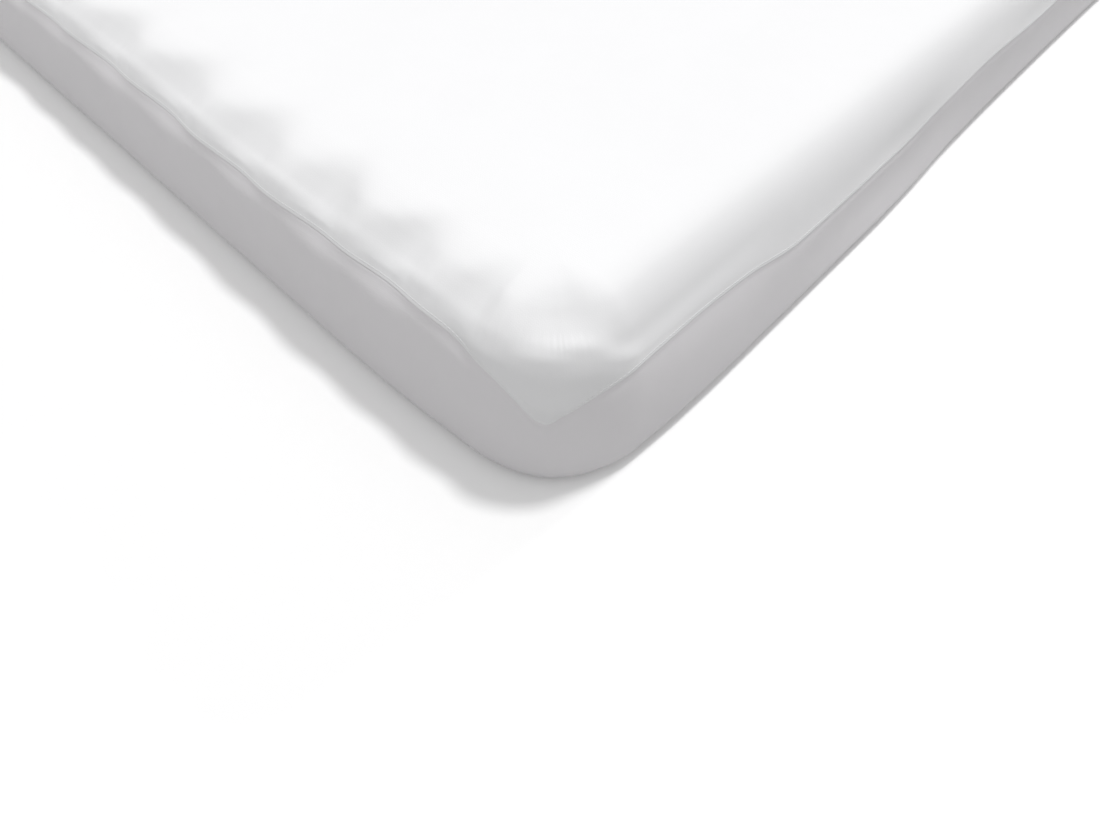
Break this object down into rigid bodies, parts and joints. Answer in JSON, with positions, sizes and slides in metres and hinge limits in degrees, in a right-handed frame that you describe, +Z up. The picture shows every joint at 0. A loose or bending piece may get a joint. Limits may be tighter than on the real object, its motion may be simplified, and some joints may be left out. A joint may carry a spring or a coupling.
{
  "type": "waterproof mattress protector on a mattress",
  "caption": "White fitted waterproof protector, its smooth top panel lapped over a stretch skirt with an elasticated hem, on a plain foam mattress.",
  "frame": {"origin": "on the floor, at the middle of the part's outline seen from above", "axes": "+X across the bed between the long sides, +Y along the bed between the ends, +Z up"},
  "size_m": [1.36, 1.91, 0.1538],
  "materials": {
    "ticking": "plain off-white knitted ticking over foam, matte",
    "panel_cloth": "white brushed cotton-faced cloth backed with a thin waterproof film, matte",
    "stretch_knit": "white fine stretch knit, matte with a faint sheen"
  },
  "bodies": {
    "root": {"mattress": "ticking", "top_panel": "panel_cloth", "skirt": "stretch_knit"}
  },
  "joints": []
}
